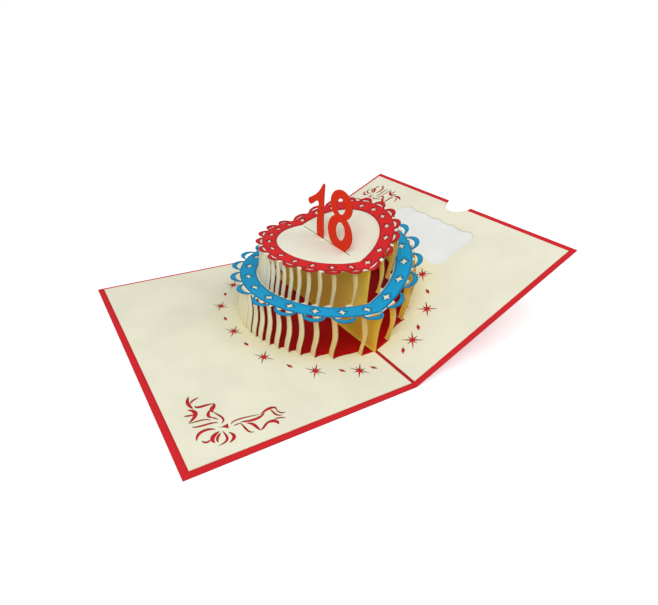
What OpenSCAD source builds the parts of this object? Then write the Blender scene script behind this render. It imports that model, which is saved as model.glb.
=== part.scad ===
// Pop-up greeting card: a two-tier birthday cake of cut paper that rises from the spine.
// The left leaf lies flat, the right leaf is lifted, and the cake stands between them.
// Leaf frame: u runs from the spine outward, y along the spine, n out of the leaf's inner face.

/* [Card] */
// Height of the card, along the spine
card_h = 150; // [140:1:200]
// Width of one leaf of the cover, from spine to outer edge
leaf_w = 105; // [98:1:150]
// Angle by which the right leaf is lifted off the table
leaf_lift = 27; // [10:1:50]
// Angle from the flat left leaf up to the centre wall
wall_angle = 90; // [84:1:96]
// Thickness of the cover sheet
cover_t = 0.4; // [0.3:0.05:0.6]
// Thickness of every inner sheet: pages, tiers, wall, rings and numerals
paper_t = 0.3; // [0.2:0.05:0.35]
// Cover border left bare beside the outer edge of each page
border = 3; // [2:0.1:4]
// Cover border left bare past the two ends of each page
end_border = 2.5; // [2:0.1:4]
// Bare cover between the spine fold and the inner edge of a page
spine_gap = 1.1; // [0.6:0.1:2]
// Width of the thumb notch in the right leaf's outer edge
notch_w = 17; // [12:1:20]
// Depth of the thumb notch
notch_depth = 7.8; // [5:0.2:8]

/* [Cake] */
// Radius of the lower tier
lower_r = 47; // [38:0.5:50]
// Height of the lower tier, along the wall
lower_h = 22; // [14:0.5:30]
// Width of the ledge that the upper tier leaves on the lower one
ledge = 10.6; // [9:0.2:14]
// Height of the upper tier above the lower one
upper_h = 17.5; // [12:0.5:24]
// Side strips on each half of a tier
strips = 20; // [12:2:24]
// How far short of its circle the first strip of a tier starts
lower_inset = 0.8; // [0.5:0.1:2]
// The same for the upper tier
upper_inset = 0.9; // [0.5:0.1:2]
// Width of the laser's cut between two strips
kerf = 0.2; // [0.1:0.05:0.4]
// Length of the glued foot tabs of a tier
tab_len = 3; // [2:0.5:3]
// Sideways swing of the wavy strips of the lower tier
lower_wave = 1.65; // [0.5:0.05:2]
// Sideways swing of the wavy strips of the upper tier
upper_wave = 1; // [0.5:0.05:1.5]

/* [Rings] */
// Scallops round each icing ring, with one star behind each
ring_units = 21; // [15:1:24]
// Inner radius of the blue ring, measured past the upper tier
blue_clear = 0.8; // [0.5:0.1:2]
// Width of the blue ring's band
blue_band = 8.6; // [7:0.2:10]
// How far the blue scallops reach past the band
blue_reach = 5.1; // [3:0.1:5.3]
// How far the red ring reaches in from the edge of the upper tier
red_lap = 9.5; // [7.5:0.1:11]
// Width of the red ring's band
red_band = 7.4; // [6:0.2:8]
// How far the red scallops reach past the band
red_reach = 3.4; // [2:0.1:4]

/* [Numerals] */
// Height of the numerals above the top of the cake
numeral_h = 29.7; // [20:0.1:34]
// Play of the numerals in their slit
slit_clear = 0.1; // [0.05:0.05:0.2]
// Height of the glued strip below the numerals
numeral_base = 7; // [4:0.5:10]

/* [Page ornament] */
// Length of the long rays of the cut stars
star_ray = 5.7; // [4:0.1:5.8]
// Distance from the spine to the bow's knot
bow_u = 83.7; // [82:0.1:85]
// Distance from the card's edge to the bow's knot
bow_edge = 15.7; // [14:0.1:18]

/* [Window and note] */
// Distance from the spine to the near side of the window
window_u = 58.5; // [58:0.5:60]
// Width of the window
window_w = 30; // [24:1:32]
// Length of the window
window_len = 59; // [50:1:64]
// Corner radius of the window
window_r = 6.5; // [4:0.5:8]
// Distance from the spine to the loose note card
note_u = 56.5; // [56:0.5:57]
// Width of the note card
note_w = 39; // [35:1:39.5]
// Length of the note card
note_len = 72; // [68:1:80]
// Thickness of the note card
note_t = 0.25; // [0.15:0.05:0.25]

/* [Hidden] */

$fn = 64;
red = "#cb282b";
cream = "#e6e3cc";
white = "#e8e8e6";
blue = "#2fa6d8";
numeral_red = "#dc3219";

// The spine is set off so that the footprint is centred on the origin.
spine_x = leaf_w * (1 - cos(leaf_lift)) / 2;
// The glued gap between cover and page holds one sheet: tape, foot tabs or the note.
glue_gap = paper_t;
page_n = cover_t + glue_gap;
// Wall heights of the upper faces of the two tiers, from the underside of the spine
lower_z = cover_t + lower_h;
upper_z = lower_z + upper_h;
// A fold is a scored line, along which the sheet is pressed to a share of its thickness.
score_w = 0.3;
score_t = 0.7;
page_clear = 0.1;
// Radius of the upper tier, and of the opening in the red ring
upper_r = lower_r - ledge;
red_inner = upper_r - red_lap;
// Half lengths of the two tiers along the spine
lower_reach = lower_r - lower_inset;
upper_reach = upper_r - upper_inset;
// Film of glue between a ring and the tier that it lies on
glue_film = 0.05;
tape_w = 4;
tape_inset = 0.3;
far = 2 * (card_h + leaf_w);

// Angle between a leaf and the wall
function lean(side) = side == "left" ? wall_angle : 180 - leaf_lift - wall_angle;

// ---- frames ----
module on_leaf(side)
    translate([spine_x, 0, 0])
        if (side == "left") mirror([1, 0, 0]) children();
        else rotate([0, -leaf_lift, 0]) children();

// Parallel to a leaf, with u counted from the wall at height z along it
module at_height(side, z)
    on_leaf(side) translate([z * cos(lean(side)), 0, z * sin(lean(side))]) children();

// Flat outlines drawn as (y, height along the wall) become sheets from x0 to x0 + t
module in_wall(x0, t)
    translate([spine_x, 0, 0])
        rotate([0, wall_angle - 90, 0])
            translate([x0, 0, 0]) rotate([90, 0, 90]) linear_extrude(t) children();

// A sheet of thickness t, folded at height z of the wall. Its plan is drawn round the fold, and
// its underside lies base above the fold. Each span is a stretch of y that is scored and folded.
module folded_sheet(z, base, t, spans) {
    for (side = ["left", "right"])
        at_height(side, z)
            translate([0, 0, base])
                linear_extrude(t)
                    intersection() {
                        mirror([side == "left" ? 1 : 0, 0]) children();
                        translate([score_w / 2, -far / 2]) square(far);
                    }
    for (s = spans) crease(z, base + t * (1 - score_t) / 2, base + t * (1 + score_t) / 2, s);
}

// Thin web that is left along a scored fold, between offsets n0 and n1 from the fold
module crease(z, n0, n1, span) {
    half = score_w / 2 + 0.25;
    function on_left(n) = [-half, n];
    function on_bisector(n) = [-n * tan(leaf_lift / 2), n];
    function on_right(n) =
        half * [cos(leaf_lift), sin(leaf_lift)] + n * [-sin(leaf_lift), cos(leaf_lift)];
    translate([spine_x - z * cos(wall_angle), span[1] - 0.1, z * sin(wall_angle)])
        rotate([90, 0, 0])
            linear_extrude(span[1] - span[0] - 0.2)
                polygon([on_left(n0), on_bisector(n0), on_right(n0),
                         on_right(n1), on_bisector(n1), on_left(n1)]);
}

// ---- stepped half tiers ----
function strip_pitch(r, inset) = 2 * (r - inset) / strips;
function strip_y(r, inset, i) = inset - r + i * strip_pitch(r, inset);
// Each strip stands where its corner farther from the middle meets the circle.
function strip_u(r, inset, i) =
    let (y = max(abs(strip_y(r, inset, i)), abs(strip_y(r, inset, i + 1))))
    sqrt(r * r - y * y);

// Stepped half disc that the strips hang from
module steps(r, inset, lap)
    polygon(concat(
        [[-lap, inset - r]],
        [for (i = [0 : strips - 1]) each
            [[strip_u(r, inset, i), strip_y(r, inset, i)],
             [strip_u(r, inset, i), strip_y(r, inset, i + 1)]]],
        [[-lap, r - inset]]));

// How far a strip stands inside its outer neighbour, for the strips of the front half
function step_in(r, inset, i) = strip_u(r, inset, i) - strip_u(r, inset, i - 1);
// The laser rounds into a step: it takes foot_pull off the strip beside it, and hooks past it.
function foot_pull(r, inset, i) = min(2.2, 0.17 * step_in(r, inset, i));
function foot_hook(r, inset, i) = min(0.9, 0.8 * step_in(r, inset, i));
foot_share = 0.55;

// Opening in a page for the feet of half a tier, with its edges clear of the strips
module foot_opening(r, inset, lap, clear)
    for (back = [0, 1])
        mirror([0, back])
            polygon(concat(
                [[-lap, 0], [-lap, inset - r - clear],
                 [strip_u(r, inset, 0) + clear, inset - r - clear]],
                [for (i = [1 : strips / 2 - 1])
                    let (y = strip_y(r, inset, i),
                         p0 = [strip_u(r, inset, i - 1) + clear, y - foot_share * foot_pull(r, inset, i)],
                         p3 = [strip_u(r, inset, i) + clear, y - foot_hook(r, inset, i)],
                         run = p3[0] - p0[0],
                         curve = [p0, p0 + [0.35 * run, -0.2],
                                  p3 + [-0.35 * run, 1.6 * foot_hook(r, inset, i)], p3])
                    for (k = [0 : stroke_steps]) bezier(curve, k / stroke_steps)],
                [[strip_u(r, inset, strips / 2 - 1) + clear, 0]]));

module stepped_disc(r, inset) {
    steps(r, inset, lap = 1);
    mirror([1, 0]) steps(r, inset, lap = 1);
}

// Sideways swing of a strip's edges at share h of its height: none at either end
function swing(h, depth) = depth * (1 - cos(270 * h) - h);
wave_steps = 10;

// Share of its foot_pull by which a strip is narrower at share h of its height
function narrowing(h) =
    h < 0.1 ? foot_share + (1 - foot_share) * h / 0.1
            : (1 + cos(180 * min(1, max(0, (h - 0.3) / 0.5)))) / 2;

// One wavy strip, drawn as (height, y), and what its edges at low and at high y lose at the foot
module strip_outline(length, width, depth, low_cut, high_cut)
    polygon(concat(
        [for (k = [0 : wave_steps]) let (h = k / wave_steps)
            [length * h, low_cut * narrowing(h) - swing(h, depth)]],
        [for (k = [wave_steps : -1 : 0]) let (h = k / wave_steps)
            [length * h, width - high_cut * narrowing(h) - swing(h, depth)]]));

// Side strips and foot tabs of half a tier whose feet stand at height foot_z and top at top_z
module strip_row(side, r, inset, foot_z, top_z, depth) {
    a = lean(side);
    // a strip ends inside its plate and its foot, which are the same sheet
    sink = paper_t / 3;
    length = top_z - foot_z - (2 * sink + paper_t * cos(a)) / sin(a);
    width = strip_pitch(r, inset) - kerf;
    heel = 1.2 * paper_t;
    at_height(side, foot_z)
        for (i = [0 : strips - 1]) {
            low_cut = i < strips / 2 ? 0 : foot_pull(r, inset, strips - i);
            high_cut = i < strips / 2 ? foot_pull(r, inset, i + 1) : 0;
            translate([strip_u(r, inset, i), strip_y(r, inset, i) + kerf / 2, 0]) {
                translate([sink * cos(a) / sin(a), 0, sink])
                    rotate([0, -a, 0])
                        linear_extrude(paper_t)
                            strip_outline(length, width, depth, low_cut, high_cut);
                translate([-heel, kerf / 4 + low_cut * foot_share, 0])
                    cube([tab_len + heel, width - kerf / 2 - (low_cut + high_cut) * foot_share, paper_t]);
            }
        }
}

// ---- cut-outs ----
// Round bite with its chord on the line u = 0 and its depth toward -u
module bite(chord, depth) {
    r = (chord * chord / 4 + depth * depth) / (2 * depth);
    translate([r - depth, 0]) circle(r);
}

module notch() translate([leaf_w, 0]) bite(notch_w, notch_depth);

// Star with four long rays across the corners and four short ones
star_core = 1.2;
module cut_star()
    polygon([for (quarter = [0 : 3])
        let (m = quarter % 2 ? -1 : 1, turn = 180 * floor((quarter + 1) / 2))
        for (ray = quarter % 2 ? [4 : -1 : 1] : [0 : 3])
            let (at = [[0.6 * star_ray, 0], [star_core, 27], [star_ray, 51], [star_core, 71],
                       [0.6 * star_ray, 90]][ray])
            at[0] * [cos(turn + m * at[1]), sin(turn + m * at[1])]]);

module cut_diamond() polygon([[0.95, 0], [0, 2.1], [-0.95, 0], [0, -2.1]]);

// Angle from straight across the spine, and distance outside the lower tier
star_places = [[0, 6.8], [27.5, 9.5], [53.3, 10.2], [73.5, 10.2]];
diamond_places = [[13.7, 7.5], [41.2, 9.9], [65.5, 9.3], [80.7, 9.8]];

module place_round(place)
    for (s = place[0] == 0 ? [1] : [-1, 1])
        rotate(s * place[0]) translate([lower_r + place[1], 0]) rotate(-s * place[0]) children();

module star_ring() {
    for (p = star_places) place_round(p) cut_star();
    for (p = diamond_places)
        for (s = [-1, 1])
            rotate(s * p[0]) translate([lower_r + p[1], 0]) rotate(-s * p[0] / 2) cut_diamond();
}

// Brush stroke along a cubic curve, pointed at both ends
function bezier(p, t) =
    pow(1 - t, 3) * p[0] + 3 * t * pow(1 - t, 2) * p[1] + 3 * t * t * (1 - t) * p[2] + pow(t, 3) * p[3];
function tangent(p, t) =
    let (d = bezier(p, min(t + 0.01, 1)) - bezier(p, max(t - 0.01, 0))) d / norm(d);
stroke_steps = 10;
module stroke(p, width) {
    function rim(k, s) =
        let (t = k / stroke_steps, d = tangent(p, t))
        bezier(p, t) + s * width / 2 * pow(sin(180 * t), 0.6) * [-d[1], d[0]];
    polygon(concat([for (k = [0 : stroke_steps]) rim(k, -1)],
                   [for (k = [stroke_steps - 1 : -1 : 1]) rim(k, 1)]));
}

// Ribbon bow: [curve, width], measured from the knot with +x toward the spine
bow_strokes = [
    // tail that rises beside the outer edge: its fork, and the fork of the fold behind it
    [[[-5.9, 23], [-8.4, 20.1], [-7.7, 17.6], [-6.8, 15.1]], 1.5],
    [[[-6.8, 18.2], [-5.9, 20.2], [-4.6, 20.2], [-2.3, 20.6]], 1],
    [[[-9.2, 15.6], [-5.9, 14.1], [-5.7, 10.9], [-11.1, 8.4]], 1.8],
    [[[-11.5, 12.8], [-10.3, 12.5], [-8.9, 12], [-7, 11.7]], 1],
    // its fold across and its way back down to the knot
    [[[-11.2, 8.4], [-8.6, 7.6], [-3.5, 8.4], [-2.9, 5.6]], 0.8],
    [[[-10.5, 6.3], [-10, 3.9], [-1.6, 5.5], [-0.9, 3.2]], 1],
    [[[-5.6, 16.7], [-6.1, 14.1], [-2.2, 15.5], [1.7, 14.3]], 1.4],
    [[[1.7, 14.7], [1.3, 11.7], [-1.4, 12.5], [-0.5, 9.5]], 1.9],
    [[[-0.5, 12], [-3.2, 9.8], [-3.5, 8.4], [-2, 7]], 1.3],
    [[[-2.6, 8.4], [-2, 6.8], [-0.8, 6.3], [-0.1, 4.8]], 0.7],
    [[[-0.5, 10.3], [0.5, 7.1], [3.5, 3.9], [-0.2, 2.4]], 0.9],
    // loops that hang toward the corner
    [[[-11.4, -1.8], [-10.3, 2.8], [-5.7, 3], [-2.8, 0.5]], 1.4],
    [[[-9.7, -2.2], [-9.2, -4.5], [-7.6, -4], [-6.2, -3.3]], 1],
    [[[-2, -0.9], [-4.9, -1.5], [-7, -3.2], [-5.7, -5.7]], 1.7],
    [[[-2, -1.9], [-3.2, -2.6], [-4.9, -4], [-4.6, -6]], 1.1],
    [[[-1.1, -1], [-0.5, -5.3], [0, -7.2], [-5.5, -7.5]], 1],
    [[[0.6, -2.8], [2.7, -5.3], [1.9, -6.9], [-1.2, -8]], 1.4],
    // tail along the lower edge: its upper side and curled end
    [[[3.1, 0.1], [3.8, 2.8], [9.7, 1.2], [15.7, 0.1]], 0.8],
    [[[6.6, 0.1], [9.7, -1.5], [14.3, -2.4], [17.5, 0.3]], 1.4],
    [[[15.4, -0.2], [18.9, 2], [23.2, 2.2], [22.5, -0.7]], 1.4],
    [[[22.3, 0.1], [22.1, -2.1], [23.2, -4], [25, -3.2]], 0.8],
    [[[20, 1.2], [21, -1.5], [19.7, -3.7], [23.3, -4.4]], 1],
    // its fold below and its lower side
    [[[3.6, -0.9], [4.9, -0.5], [5.9, -0.5], [7.1, -0.9]], 0.7],
    [[[6.3, -0.6], [7.6, -2.4], [6.2, -7.5], [9.6, -7.2]], 0.9],
    [[[8.4, -2], [11.3, -2.4], [10.9, -5.3], [11.7, -7.8]], 1.4],
    [[[11.2, -7.5], [14, -8], [14.6, -4], [19.4, -5.1]], 1],
    [[[15.4, -5.7], [18.1, -4.5], [20, -6.1], [19.3, -8.2]], 1.7],
    [[[18.9, -4.9], [20.5, -4.8], [22.1, -5.3], [23.5, -6.3]], 0.8]
];
module bow() {
    polygon([[-2.1, 1.4], [-0.4, 0.9], [2.2, 1.4], [1.5, -1.2], [0.2, 0]]);
    for (s = bow_strokes) stroke(s[0], s[1]);
}
// On its page: +x of the bow points to the spine, so the outline is turned over in u
module bow_on_page(back)
    translate([bow_u, (back ? 1 : -1) * (card_h / 2 - bow_edge)])
        mirror([0, back ? 1 : 0]) mirror([1, 0]) bow();

// Window with rounded corners, whose sides are scalloped inward, the long ones by several
scallops = 4;
scallop_sag = 1.3;
end_sag = 1.8;
module window() {
    pitch = (window_len - 2 * window_r) / scallops;
    difference() {
        translate([window_u, -window_len / 2])
            union() {
                translate([window_r, 0]) square([window_w - 2 * window_r, window_len]);
                translate([0, window_r]) square([window_w, window_len - 2 * window_r]);
                for (x = [window_r, window_w - window_r], y = [window_r, window_len - window_r])
                    translate([x, y]) circle(window_r);
            }
        for (k = [0 : scallops - 1])
            translate([0, (k + 0.5) * pitch - window_len / 2 + window_r]) {
                translate([window_u, 0]) mirror([1, 0]) bite(pitch, scallop_sag);
                translate([window_u + window_w, 0]) bite(pitch, scallop_sag);
            }
        for (end = [0, 1])
            mirror([0, end])
                translate([window_u + window_w / 2, window_len / 2])
                    rotate(90) bite(window_w - 2 * window_r - 1, end_sag);
    }
}

// ---- cover, pages and what lies between them ----
module page_outline(side) {
    // the strips lean as they pass through the page
    shift = (page_n + paper_t) * cos(lean(side)) / sin(lean(side));
    difference() {
        translate([spine_gap, end_border - card_h / 2])
            square([leaf_w - border - spine_gap, card_h - 2 * end_border]);
        translate([shift, 0]) foot_opening(lower_r, lower_inset, spine_gap, page_clear);
        star_ring();
        bow_on_page(back = side == "right");
        if (side == "right") {
            window();
            notch();
        }
    }
}

module page(side)
    on_leaf(side) translate([0, 0, page_n]) linear_extrude(paper_t) page_outline(side);

module cover()
    color(red)
        folded_sheet(0, 0, cover_t, [[-card_h / 2, card_h / 2]])
            difference() {
                square([2 * leaf_w, card_h], center = true);
                notch();
            }

module left_page() color(cream) page("left");
module right_page() color(cream) page("right");

// Double-sided tape round three sides of a page, open for open_len at the outer edge
module tape(side, open_len) {
    outer_u = leaf_w - border - tape_inset;
    edge_y = card_h / 2 - end_border - tape_inset;
    on_leaf(side)
        translate([0, 0, cover_t])
            linear_extrude(glue_gap)
                difference() {
                    translate([spine_gap + tape_inset, -edge_y])
                        square([outer_u - spine_gap - tape_inset, 2 * edge_y]);
                    translate([0, tape_w - edge_y])
                        square([outer_u - tape_w, 2 * (edge_y - tape_w)]);
                    if (open_len > 0) translate([0, -open_len / 2]) square([leaf_w, open_len]);
                }
}
module left_page_tape() color(white) tape("left", 0);
module right_page_tape() color(white) tape("right", note_len + 4);

module note_card()
    color(white)
        on_leaf("right")
            translate([note_u, -note_len / 2, cover_t]) cube([note_w, note_len, note_t]);

// ---- cake ----
// The lower tier is open inside the upper one, whose feet are glued under its plate.
lower_hole_r = upper_r + 0.2;
module lower_tier()
    color(cream) {
        folded_sheet(lower_z, -paper_t, paper_t,
                     [[-lower_reach, -lower_hole_r], [lower_hole_r, lower_reach]])
            difference() {
                stepped_disc(lower_r, lower_inset);
                circle(lower_hole_r);
            }
        for (side = ["left", "right"])
            strip_row(side, lower_r, lower_inset, cover_t / sin(lean(side)), lower_z, lower_wave);
    }

module upper_tier()
    color(cream)
        difference() {
            union() {
                folded_sheet(upper_z, -paper_t, paper_t, [[-upper_reach, upper_reach]])
                    stepped_disc(upper_r, upper_inset);
                for (side = ["left", "right"])
                    strip_row(side, upper_r, upper_inset, lower_z - 2 * paper_t / sin(lean(side)),
                              upper_z, upper_wave);
            }
            in_wall(-slit_clear, paper_t + 2 * slit_clear)
                translate([slit_front - slit_clear, upper_z - 3])
                    square([slit_back - slit_front + 2 * slit_clear, 6]);
        }

// ---- icing rings ----
// Band with a scallop loop and a star at each unit, the first one at angle first
module ring_plan(inner, band, reach, chord, hole_chord, hole_reach, star_tip, first) {
    outer = inner + band;
    difference() {
        union() {
            circle(outer);
            for (k = [0 : ring_units - 1])
                rotate(first - k * 360 / ring_units)
                    translate([0, outer]) rotate(-90) bite(chord, reach);
        }
        circle(inner);
        for (k = [0 : ring_units - 1])
            rotate(first - k * 360 / ring_units) {
                difference() {
                    translate([0, outer]) rotate(-90) bite(hole_chord, hole_reach);
                    circle(outer);
                }
                translate([0, inner + band / 2]) ring_star(star_tip);
            }
    }
}

module ring_star(tip)
    polygon([for (k = [0 : 7])
        (k % 2 ? 0.43 * tip : tip) * [cos(45 * k), sin(45 * k)]]);

module folded_ring(z, inner, band)
    folded_sheet(z, glue_film, paper_t, [[-inner - band, -inner], [inner, inner + band]]) children();

blue_inner = upper_r + blue_clear;
module blue_ring()
    color(blue)
        folded_ring(lower_z, blue_inner, blue_band)
            ring_plan(blue_inner, blue_band, blue_reach, 2 * blue_reach + 0.6,
                      9.6, blue_reach / 2, 2.5, 174);

module red_ring()
    color(red)
        folded_ring(upper_z, red_inner, red_band)
            ring_plan(red_inner, red_band, red_reach, 8.3, 6.1, 1.2, 2, 166.6);

// ---- centre wall and numerals ----
wall_foot = cover_t + 0.1;
wall_tab_front = 1;
wall_tab_back = 5.5;
wall_flare = 2.2;
module centre_wall()
    color(cream) {
        in_wall(-paper_t, paper_t)
            union() {
                wall_stage(lower_reach, wall_foot, lower_z - paper_t, wall_flare);
                wall_stage(upper_reach, lower_z - 2 * paper_t, upper_z - paper_t, 0);
            }
        // foot tab, folded to the left and glued to the cover
        on_leaf("left")
            translate([0, 0, cover_t])
                linear_extrude(paper_t)
                    polygon([[paper_t / 2, -lower_reach], [wall_tab_front, -lower_reach],
                             [wall_tab_back, lower_reach], [paper_t / 2, lower_reach]]);
    }

// One stage of the wall, whose front edge flares out toward the top
module wall_stage(reach, z0, z1, flare)
    polygon(concat(
        [[reach, z0], [reach, z1]],
        [for (k = [wave_steps : -1 : 0])
            [-reach - flare * pow(k / wave_steps, 3), z0 + (z1 - z0) * k / wave_steps]]));

// Ellipse as an outline, because the holes and bowls of an 8 aren't round
module ellipse(c, rx, ry)
    polygon([for (k = [0 : 47]) c + [rx * cos(7.5 * k), ry * sin(7.5 * k)]]);

drawn_h = 28.7;
slit_front = -18;
slit_back = 24.6;
module figure_one() {
    n = 8;
    function arc(p) = [for (k = [0 : n - 1]) bezier(p, k / n)];
    polygon(concat(
        [[5.2, -3]],
        arc([[10.4, -3], [14.6, 9.6], [10.8, 13.6], [11.6, 16.6]]),
        arc([[11.6, 16.6], [12.6, 20], [16.4, 15], [19.2, 14.2]]),
        arc([[19.2, 14.2], [21.4, 14.2], [22.8, 16.2], [21, 17.4]]),
        arc([[21, 17.4], [16, 19.6], [12, 22.4], [9.7, 26]]),
        arc([[9.7, 26], [8.4, 28.2], [7.2, 28.2], [6.8, 27]]),
        arc([[6.8, 27], [7.2, 16], [5, 4], [5.2, -3]])));
}
module figure_eight()
    difference() {
        union() {
            ellipse([-8.1, 21.6], 9.2, 7.1);
            ellipse([-8.6, 8], 10.4, 8.6);
            translate([-14.4, -3]) square([9, 5]);
        }
        ellipse([-8, 20.8], 3.6, 3.8);
        ellipse([-9, 8.8], 3.9, 4.5);
    }
module numerals()
    color(numeral_red)
        in_wall(0, paper_t)
            translate([0, upper_z]) {
                scale([1, numeral_h / drawn_h]) {
                    figure_one();
                    figure_eight();
                }
                translate([slit_front, -numeral_base]) square([slit_back - slit_front, numeral_base - 1]);
            }

cover();
left_page();
right_page();
left_page_tape();
right_page_tape();
note_card();
lower_tier();
blue_ring();
upper_tier();
red_ring();
centre_wall();
numerals();
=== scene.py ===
"""Looks of the pop-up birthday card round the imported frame.

Procedural paper materials for the CAD nodes, then the floor, the world, the lamps and the camera.
"""

import math

import bpy
from mathutils import Euler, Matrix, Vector


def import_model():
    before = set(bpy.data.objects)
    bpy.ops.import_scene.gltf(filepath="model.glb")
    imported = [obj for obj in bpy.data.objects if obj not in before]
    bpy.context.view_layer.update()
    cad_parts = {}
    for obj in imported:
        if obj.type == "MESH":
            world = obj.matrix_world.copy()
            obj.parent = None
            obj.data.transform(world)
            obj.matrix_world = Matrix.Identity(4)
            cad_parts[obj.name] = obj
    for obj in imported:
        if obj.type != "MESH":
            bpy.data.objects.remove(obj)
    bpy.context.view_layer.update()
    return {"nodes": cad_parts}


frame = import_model()

# ---- the card, in metres: x runs across the spine and y along it ----
LEAF_LIFT = math.radians(27)  # the right leaf and all that is parallel to it
SPINE_X = 0.005722
LEFT_NORMAL = (0.0, 0.0, 1.0)
RIGHT_NORMAL = (-math.sin(LEAF_LIFT), 0.0, math.cos(LEAF_LIFT))
WALL_NORMAL = (1.0, 0.0, 0.0)
FOLDED = (LEFT_NORMAL, RIGHT_NORMAL)
ALONG_SPINE = (0.0, 1.0, 0.0)

# Limits of masks: each pair runs from where the mask starts to where it is full.
AT_FOLD = (0.0016, 0.0006)  # distance from the spine
AT_PAGE_END = (0.0712, 0.0718)  # size of y, just inside the pages' two ends
AT_PAGE_SIDE = (0.0948, 0.0955)  # size of x, just inside their outer edges
PAST_WINDOW_SIDE = (0.0565, 0.0580)  # x, at the window's side that is nearer the spine
BETWEEN_WINDOW_ENDS = (0.0335, 0.0325)  # size of y, just outside the window's two ends
# The limits below shape the painted shade: round the cake's foot on the cover, and on the strips'
# faces.
UNDER_CAKE = (0.049, 0.043)  # distance from the middle of the spine, round the cake's foot
FACES_SPINE = (-0.93, -0.97)  # the normal's x, counted away from the spine
STANDS_UP = (0.5, 0.7)  # size of the normal's x
STRIP_FRONTS = (0.045, 0.012)  # distance from the spine, from the outermost strips inward

# ---- what all the sheets share ----
CLOUD_SCALE = 38.0
CLOUD_LIMITS = (0.35, 0.65)
CLOUD_DEPTH = 0.03  # how far the clouds stray from the sheet's colour, either way
FIBRE_SCALE = 5200.0
FIBRE_STRETCH = (1.0, 0.22, 1.0)
FLECK_LIMITS = (0.58, 0.78)
FLECK_DEPTH = 0.08
RELIEF_STRENGTH = 0.12
RELIEF_HEIGHT = 0.00004
ROUGHNESS_LIMITS = (0.3, 0.7)
ROUGHNESS = (0.65, 0.78)
GLOSS = 0.12
# Painted shade is read from how closed in a spot is, with ambient occlusion.
CLOSED_REACH = 0.03  # how far off another sheet still counts as closing round this one
CLOSED_SAMPLES = 12
# Painted shade on the strips' outer faces keeps this share on the outermost strips.
OUTER_FRONT_SHARE = 0.2  # share of front_shade on the outermost strips
EDGE_SAMPLES = 6
CROSS_CUT_LIMITS = (0.12, 0.75)
PATCH_SCALE = 420.0
PATCH_LIMITS = (0.25, 0.7)
# Patches vary the strength of the edge darkening, laser browning and painted edge shadow alike.
PATCH_BURN = (0.7, 1.0)  # the burn's strength, from its weakest patches to its strongest
CLEAN_BORDER = 0.8
CLEAN_WINDOW = 0.75
GLOW_DEPTH = 0.001
GLOW_RADIUS = (1.0, 0.75, 0.4)  # how deep red, green and blue reach, as shares of GLOW_DEPTH

WHITE = (1.0, 1.0, 1.0, 1.0)
# Painted shade: deeper, warmer tones mixed into the sheets' colours where other sheets close
# round them, in place of shade and warm bounced light.
CREAM_SHADE = (236, 194, 72)
PAGE_SHADE = (236, 226, 176)
RED_SHADE = (176, 1, 1)
WALL_SHADE = (255, 212, 76)


# ---- node building ----
def linear(rgb):
    """Linear colour of an sRGB one written with 0 to 255."""
    out = []
    for value in rgb:
        c = value / 255
        out.append(c / 12.92 if c <= 0.04045 else ((c + 0.055) / 1.055) ** 2.4)
    return (*out, 1.0)


def scaled(colour, factor):
    """Darker or lighter version of a linear colour, at most white."""
    return (*(min(c * factor, 1.0) for c in colour[:3]), 1.0)


class Graph:
    """The node tree of a material or a world, built with one call for each node."""

    def __init__(self, owner):
        owner.use_nodes = True
        self.tree = owner.node_tree
        self.tree.nodes.clear()

    def add(self, kind, inputs=(), **settings):
        node = self.tree.nodes.new("ShaderNode" + kind)
        for key, value in settings.items():
            setattr(node, key, value)
        for socket, value in dict(inputs).items():
            if isinstance(value, bpy.types.NodeSocket):
                self.tree.links.new(value, node.inputs[socket])
            else:
                node.inputs[socket].default_value = value
        return node

    def math(self, operation, *values):
        return self.add("Math", dict(enumerate(values)), operation=operation).outputs[0]

    def mix(self, factor, a, b):
        node = self.add("Mix", {0: factor, 6: a, 7: b}, data_type="RGBA", clamp_factor=True)
        return node.outputs[2]

    def mix_shaders(self, factor, a, b):
        return self.add("MixShader", {0: factor, 1: a, 2: b}).outputs[0]

    def ramp(self, value, limits, ends=(0.0, 1.0), smooth=True):
        """Goes from one end to the other as the value goes from one limit to the other."""
        node = self.add(
            "MapRange",
            {0: value, 1: limits[0], 2: limits[1], 3: ends[0], 4: ends[1]},
            interpolation_type="SMOOTHSTEP" if smooth else "LINEAR",
        )
        return node.outputs[0]

    def noise(self, vector, scale, detail=2.0, rough=0.5):
        node = self.add(
            "TexNoise", {"Vector": vector, "Scale": scale, "Detail": detail, "Roughness": rough}
        )
        return node.outputs[0]

    def facing(self, normal, direction):
        """How squarely a normal stands along a direction, whichever way it points."""
        node = self.add("VectorMath", {0: normal, 1: direction}, operation="DOT_PRODUCT")
        return self.math("ABSOLUTE", node.outputs["Value"])


# ---- paper ----
def painted_shade_share(g, x, y, limits, where, front_shade):
    """Share of painted shade, the sheet's deeper tone, that each spot takes by how closed in it
    is.
    """
    shelter = g.add("AmbientOcclusion", {"Distance": CLOSED_REACH}, samples=CLOSED_SAMPLES)
    closed = g.ramp(shelter.outputs["AO"], limits, smooth=False)
    if where == "all":
        return closed
    off_spine = g.math("SUBTRACT", x, SPINE_X)
    if where == "below":
        squares = g.math("ADD", g.math("POWER", off_spine, 2.0), g.math("POWER", y, 2.0))
        return g.math("MULTIPLY", closed, g.ramp(g.math("SQRT", squares), UNDER_CAKE))
    true_normal = g.add("NewGeometry").outputs["True Normal"]
    normal_x = g.add("SeparateXYZ", {0: true_normal}).outputs[0]
    outward = g.math("MULTIPLY", g.math("SIGN", off_spine), normal_x)
    inner = g.math("MULTIPLY", closed, g.ramp(outward, FACES_SPINE))
    upright = g.ramp(g.math("ABSOLUTE", normal_x), STANDS_UP)
    # Painted shade on the strips' outer faces, growing towards the spine.
    front_shade_share = g.ramp(
        g.math("ABSOLUTE", off_spine), STRIP_FRONTS, (OUTER_FRONT_SHARE * front_shade, front_shade)
    )
    return g.math("MAXIMUM", inner, g.math("MULTIPLY", upright, front_shade_share))


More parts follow.
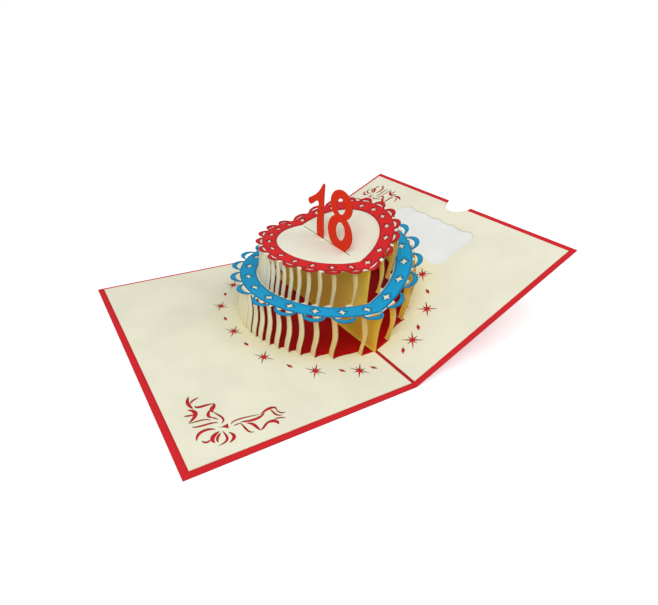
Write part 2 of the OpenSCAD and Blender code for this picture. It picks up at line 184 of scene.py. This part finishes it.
def edge_burn_and_shade(g, place, normals, width, limits, across):
    """How dark each spot near a cut edge is, by how far it lies from it: laser browning and
    painted edge shadow.
    """
    rounded = g.add("Bevel", {"Radius": width}, samples=EDGE_SAMPLES).outputs[0]
    if across:
        burnt_and_shaded = g.ramp(g.facing(rounded, ALONG_SPINE), CROSS_CUT_LIMITS)
    else:
        flat = g.facing(rounded, normals[0])
        for normal in normals[1:]:
            flat = g.math("MAXIMUM", flat, g.facing(rounded, normal))
        burnt_and_shaded = g.ramp(flat, limits)
    patches = g.ramp(g.noise(place, PATCH_SCALE), PATCH_LIMITS, PATCH_BURN)
    return g.math("MULTIPLY", burnt_and_shaded, patches)


def spare(g, burn_and_shade, share, mask):
    """Edge darkening that is less by a share of it where the mask is full."""
    return g.math("MULTIPLY", burn_and_shade, g.math("SUBTRACT", 1.0, g.math("MULTIPLY", share, mask)))


def spared_burn_and_shade(g, place, x, y, normals, width, limits, across, clean):
    """The darkening of a sheet's cut edges, laser browning and painted edge shadow, without what
    its clean parts are spared.
    """
    burn_and_shade = edge_burn_and_shade(g, place, normals, width, limits, across)
    if "fold" in clean:
        off_spine = g.math("ABSOLUTE", g.math("SUBTRACT", x, SPINE_X))
        burn_and_shade = spare(g, burn_and_shade, 1.0, g.ramp(off_spine, AT_FOLD))
    if "border" in clean:
        end = g.ramp(g.math("ABSOLUTE", y), AT_PAGE_END)
        side = g.ramp(g.math("ABSOLUTE", x), AT_PAGE_SIDE)
        burn_and_shade = spare(g, burn_and_shade, CLEAN_BORDER, g.math("MAXIMUM", end, side))
    if "window" in clean:
        past = g.ramp(x, PAST_WINDOW_SIDE)
        between = g.ramp(g.math("ABSOLUTE", y), BETWEEN_WINDOW_ENDS)
        burn_and_shade = spare(g, burn_and_shade, CLEAN_WINDOW, g.math("MULTIPLY", past, between))
    return burn_and_shade


def paper(name, colour, normals, edge=(120, 78, 40), edge_share=0.8, burn_and_shade_width=0.00035,
          burn_and_shade_limits=(0.92, 0.6), across=False, clean=(), shade_tone=None,
          shade_limits=(0.8, 0.3), shade_on="all", front_shade=0.0, glow=0.0):
    """Card stock: fibre grain, faint clouds, edges browned by the laser, and painted shade.

    normals are the directions that the node's sheets face. edge is the colour of the dark cut
    edges and edge_share how much of it shows: partly the laser's browning, partly painted edge
    shadow, which is strongest on the rings. burn_and_shade_width is how far in from a cut the
    sheet reads as bent, and burn_and_shade_limits say how flat it still is where the darkening
    starts and where it is full. across counts only cuts that run across the spine, because the
    others are folds. clean lists what is spared: the "fold" over the spine, the page's outer
    "border", the note's "window".

    shade_tone is painted shade: the deeper, warmer tone mixed into the sheet's colour where other
    sheets close round it, standing in for the shade and the warm light that they pass and throw
    back. shade_limits say how open a spot still is where the tone starts and where it is full.
    shade_on keeps it to the "inner" faces of the strips, or to what lies "below" the cake, and
    front_shade is the share of painted shade that the strips' outer faces take towards the
    spine. glow is how much light the sheet lets through."""
    material = bpy.data.materials.new(name)
    g = Graph(material)
    place = g.add("TexCoord").outputs["Object"]
    spread = g.add("SeparateXYZ", {0: place})
    x, y = spread.outputs[0], spread.outputs[1]
    base = linear(colour)
    clouds = g.noise(place, CLOUD_SCALE, detail=3.0)
    stretched = g.add("Mapping", {"Vector": place, "Scale": FIBRE_STRETCH}).outputs[0]
    fibres = g.noise(stretched, FIBRE_SCALE, detail=3.0, rough=0.65)
    tone = g.mix(
        g.ramp(clouds, CLOUD_LIMITS), scaled(base, 1 - CLOUD_DEPTH), scaled(base, 1 + CLOUD_DEPTH)
    )
    tone = g.mix(g.ramp(fibres, FLECK_LIMITS), tone, scaled(base, 1 - FLECK_DEPTH))
    # Painted shade: the shade tone mixed in where the sheet is closed in.
    if shade_tone:
        closed = painted_shade_share(g, x, y, shade_limits, shade_on, front_shade)
        tone = g.mix(closed, tone, linear(shade_tone))
    # Cut edges darkened: laser browning and painted edge shadow.
    burn_and_shade = spared_burn_and_shade(g, place, x, y, normals, burn_and_shade_width, burn_and_shade_limits, across, clean)
    tone = g.mix(g.math("MULTIPLY", burn_and_shade, edge_share), tone, linear(edge))
    relief = g.add(
        "Bump", {"Strength": RELIEF_STRENGTH, "Distance": RELIEF_HEIGHT, "Height": fibres}
    )
    body = g.add(
        "BsdfPrincipled",
        {
            "Base Color": tone,
            "Roughness": g.ramp(clouds, ROUGHNESS_LIMITS, ROUGHNESS),
            "Specular IOR Level": GLOSS,
            "Subsurface Weight": glow,
            "Subsurface Radius": GLOW_RADIUS,
            "Subsurface Scale": GLOW_DEPTH,
            "Normal": relief.outputs[0],
        },
    )
    g.add("OutputMaterial", {"Surface": body.outputs[0]})
    return material


# Painted shade on the pages round the cake's foot and on the tiers' strips.
PAGE = dict(edge=(104, 50, 34), edge_share=0.65, burn_and_shade_limits=(0.95, 0.68),
            shade_tone=PAGE_SHADE, shade_limits=(0.85, 0.35))
TAPE = dict(colour=(236, 235, 228), edge_share=0.0)
TIER = dict(normals=FOLDED, across=True, shade_tone=CREAM_SHADE, shade_limits=(0.75, 0.35),
            shade_on="inner", glow=0.5)
# The rings' wide, near-black edge band is painted edge shadow over the laser browning.
RING = dict(normals=FOLDED, edge_share=1.0, burn_and_shade_limits=(0.965, 0.84), clean=("fold",))
MATERIALS = {
    # The cover's deeper red under the cake is painted shade.
    "cover": paper("cover_red", (206, 37, 45), FOLDED, edge=(146, 24, 30), edge_share=0.5,
                   shade_tone=RED_SHADE, shade_limits=(0.9, 0.5), shade_on="below"),
    "left_page": paper("page_left", (231, 229, 206), (LEFT_NORMAL,), clean=("border",), **PAGE),
    "right_page": paper("page_right", (234, 231, 209), (RIGHT_NORMAL,),
                        clean=("border", "window"), **PAGE),
    "left_page_tape": paper("tape_left", normals=(LEFT_NORMAL,), **TAPE),
    "right_page_tape": paper("tape_right", normals=(RIGHT_NORMAL,), **TAPE),
    "note_card": paper("note", (234, 235, 235), (RIGHT_NORMAL,), edge_share=0.1),
    # The lower tier's cream is lighter than the upper tier's though they are the same paper:
    # painted light and shade, besides the painted shade of their strips.
    "lower_tier": paper("tier_lower", (248, 242, 211), front_shade=0.75, **TIER),
    "upper_tier": paper("tier_upper", (236, 235, 213), front_shade=0.6, **TIER),
    # The wall is cream card: its yellow base colour and WALL_SHADE are painted shade of the
    # cake's inside, and the edge darkening also shades the crease to its foot tab.
    "centre_wall": paper("wall", (250, 220, 124), (WALL_NORMAL, LEFT_NORMAL), glow=0.5,
                         shade_tone=WALL_SHADE, shade_limits=(0.95, 0.4)),
    # The rings' dark outlines round their holes and scallops: painted edge shadow over the laser
    # browning.
    "blue_ring": paper("ring_blue", (32, 159, 212), edge=(2, 16, 30), burn_and_shade_width=0.002, **RING),
    "red_ring": paper("ring_red", (212, 40, 44), edge=(84, 10, 14), burn_and_shade_width=0.0018, **RING),
    "numerals": paper("numeral_red", (228, 50, 18), (WALL_NORMAL,), edge=(120, 26, 16)),
}
for node, material in MATERIALS.items():
    for slot in frame["nodes"][node].material_slots:
        slot.material = material

# ---- floor, world and lamps ----
FLOOR_SIZE = 12.0
FLOOR_DROP = 0.0002  # keeps the floor out of the plane of the cover's underside
FLOOR_TONES = ((238, 238, 238), (242, 242, 242))
FLOOR_CLOUD_SCALE = 3.0
FLOOR_GLOW = 0.34  # what brings the lit floor near to white
FLOOR_FADE = (0.22, 0.6)  # distance from the card over which the floor turns plain white
LAMP_SIZE = 0.9
LAMP_TARGET = (0, 0, 0.03)


def stage_floor():
    """White floor that keeps the card's shadow and fades into the white of the world."""
    bpy.ops.mesh.primitive_plane_add(size=FLOOR_SIZE, location=(0, 0, -FLOOR_DROP))
    floor = bpy.context.object
    floor.name = "floor"
    material = bpy.data.materials.new("floor_white")
    g = Graph(material)
    place = g.add("TexCoord").outputs["Object"]
    dark, light = (linear(tone) for tone in FLOOR_TONES)
    tone = g.mix(g.noise(place, FLOOR_CLOUD_SCALE), dark, light)
    matt = g.add("BsdfDiffuse", {"Color": tone}).outputs[0]
    glow = g.add("Emission", {"Color": WHITE, "Strength": FLOOR_GLOW}).outputs[0]
    lit = g.add("AddShader", {0: matt, 1: glow}).outputs[0]
    far = g.add("Emission", {"Color": WHITE, "Strength": 1.0}).outputs[0]
    reach = g.add("VectorMath", {0: place}, operation="LENGTH").outputs["Value"]
    faded = g.mix_shaders(g.ramp(reach, FLOOR_FADE), lit, far)
    seen = g.add("LightPath")
    shown = g.math("MAXIMUM", seen.outputs["Is Camera Ray"], seen.outputs["Is Glossy Ray"])
    g.add("OutputMaterial", {"Surface": g.mix_shaders(shown, matt, faded)})
    floor.data.materials.append(material)


def world(strength):
    """Soft light from all round, which the camera sees as plain white."""
    studio = bpy.data.worlds.new("studio")
    bpy.context.scene.world = studio
    g = Graph(studio)
    soft = g.add("Background", {"Color": WHITE, "Strength": strength}).outputs[0]
    plain = g.add("Background", {"Color": WHITE, "Strength": 1.0}).outputs[0]
    seen = g.add("LightPath").outputs["Is Camera Ray"]
    g.add("OutputWorld", {"Surface": g.mix_shaders(seen, soft, plain)})


def lamp(name, location, power):
    """Soft round lamp, aimed at the foot of the cake."""
    light = bpy.data.lights.new(name, "AREA")
    light.shape = "DISK"
    light.size = LAMP_SIZE
    light.energy = power
    obj = bpy.data.objects.new(name, light)
    bpy.context.scene.collection.objects.link(obj)
    obj.location = location
    aim = Vector(LAMP_TARGET) - Vector(location)
    obj.rotation_euler = aim.to_track_quat("-Z", "Y").to_euler()


stage_floor()
world(strength=0.46)
lamp("key", (-0.5, -0.55, 1.0), power=8.0)
lamp("fill", (0.6, -0.5, 0.8), power=3.2)

# ---- camera, calibrated on the photograph ----
CAMERA_PLACE = (-0.12745, -0.18938, 0.13557)
CAMERA_TURN = (62.6384, -2.3828, -30.3492)  # degrees

camera_data = bpy.data.cameras.new("camera")
camera_data.lens = 26.385
camera_data.shift_x = 0.04534
camera_data.shift_y = -0.03161
camera_data.clip_start = 0.01
camera = bpy.data.objects.new("camera", camera_data)
camera.location = CAMERA_PLACE
camera.rotation_euler = Euler([math.radians(angle) for angle in CAMERA_TURN], "XYZ")
bpy.context.scene.collection.objects.link(camera)
bpy.context.scene.camera = camera

bpy.context.scene.view_settings.view_transform = "Standard"
